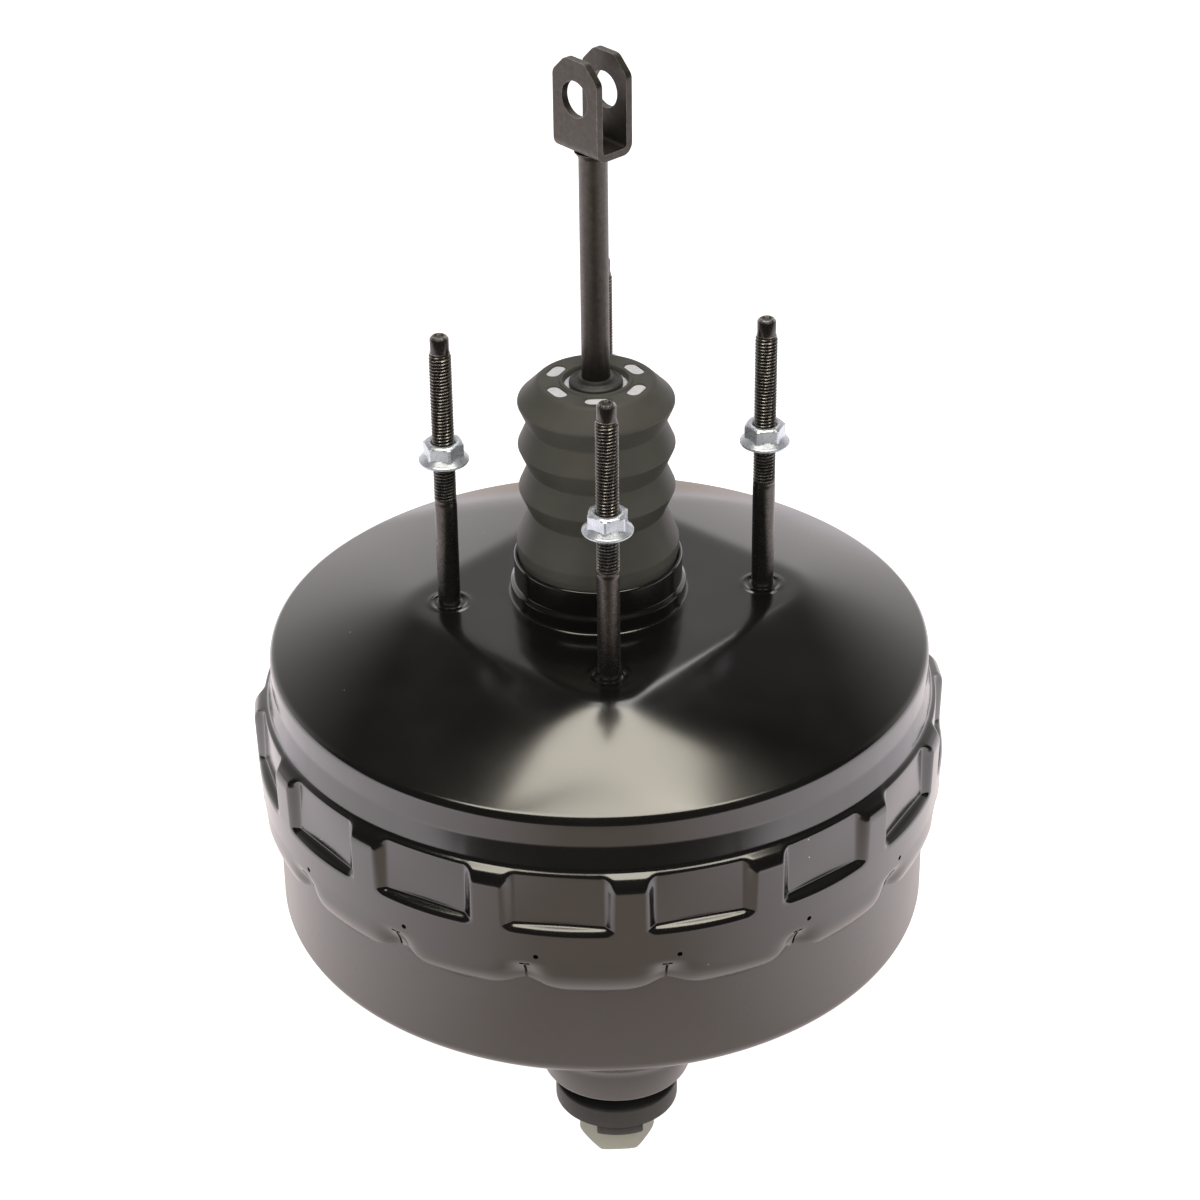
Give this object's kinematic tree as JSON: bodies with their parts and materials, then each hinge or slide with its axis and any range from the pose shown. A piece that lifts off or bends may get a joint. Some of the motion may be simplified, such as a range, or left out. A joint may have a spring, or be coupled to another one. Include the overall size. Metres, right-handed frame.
{
  "type": "vacuum brake booster",
  "caption": "Round pressed-steel tandem vacuum servo with a locked rim, mounting studs, bellows boot, push rod with fork end, and a side vacuum check valve.",
  "frame": {"origin": "centre of the four mounting studs, on the bulkhead pad's outer face", "axes": "+Z along the push rod towards the brake pedal, so -Z faces the master cylinder; X and Y along the stud rectangle's long and short sides, with the shell's axis 3.9 mm along +Y"},
  "size_m": [0.256, 0.256, 0.3848],
  "materials": {
    "shell_black": "gloss black paint over pressed steel",
    "inner_steel": "plain pressed steel, lightly oiled",
    "stud_steel": "black oxide with bright thread crests",
    "nut_zinc": "bright bluish zinc",
    "rubber_black": "satin black moulded rubber",
    "boot_rubber": "satin black bellows rubber",
    "phenolic": "dark phenolic moulding",
    "bearing_nylon": "natural nylon",
    "valve_steel": "turned steel",
    "spring_steel": "oil-tempered spring wire",
    "rod_phosphate": "dark phosphated steel, worn at the edges",
    "felt": "white felt",
    "foam": "grey open-cell foam",
    "nylon_cream": "cream moulded nylon"
  },
  "bodies": {
    "housing": {"rear_shell": "shell_black", "front_shell": "shell_black", "divider_plate": "inner_steel", "stud_plate": "inner_steel", "mounting_studs": "stud_steel", "flange_nuts": "nut_zinc", "front_reinforcement": "inner_steel", "master_cylinder_studs": "stud_steel", "rear_diaphragm": "rubber_black", "front_diaphragm": "rubber_black", "return_spring": "spring_steel", "neck_bearing": "bearing_nylon", "neck_seal": "rubber_black", "divider_seal": "rubber_black", "front_seal": "rubber_black", "front_seal_retainer": "inner_steel", "dust_boot": "boot_rubber", "valve_grommet": "rubber_black", "check_valve_body": "nylon_cream", "check_valve_cap": "nylon_cream", "check_valve_spring": "spring_steel"},
    "power_piston": {"valve_body": "phenolic", "rear_plate": "inner_steel", "front_plate": "inner_steel", "reaction_disc": "rubber_black", "output_rod": "valve_steel", "output_rod_tip": "valve_steel", "output_rod_retainer": "valve_steel", "poppet_valve": "rubber_black", "poppet_retainer": "valve_steel", "poppet_spring": "spring_steel", "input_return_spring": "spring_steel", "silencer": "foam", "air_filter": "felt"},
    "control_plunger": {"valve_plunger": "valve_steel", "plunger_key": "valve_steel"},
    "push_rod": {"input_rod": "rod_phosphate", "clevis": "rod_phosphate", "rod_collar": "rubber_black", "spring_collar": "valve_steel"},
    "check_valve_poppet": {"check_valve_disc": "rubber_black"}
  },
  "joints": [
    {"name": "piston_stroke", "type": "slide", "parent": "housing", "child": "power_piston", "axis": [0, 0, -1], "range_m": [0, 0.036], "stiffness_N_per_m": 2000, "springref_m": -0.06, "deforming": ["dust_boot", "return_spring", "rear_diaphragm", "front_diaphragm"]},
    {"name": "plunger_travel", "type": "slide", "parent": "power_piston", "child": "control_plunger", "axis": [0, 0, -1], "range_m": [0, 0.0015], "stiffness_N_per_m": 3000, "springref_m": -0.01, "deforming": ["poppet_valve", "poppet_spring", "input_return_spring"]},
    {"name": "rod_tilt", "type": "hinge", "parent": "control_plunger", "child": "push_rod", "pos_m": [0, 0.0039, -0.016], "axis": [0.9945, -0.1045, 0], "range_deg": [-1, 1], "stiffness_Nm_per_rad": 3},
    {"name": "check_valve_lift", "type": "slide", "parent": "housing", "child": "check_valve_poppet", "axis": [0, 0, -1], "range_m": [0, 0.0015], "stiffness_N_per_m": 100, "springref_m": -0.003, "deforming": ["check_valve_spring"]}
  ]
}
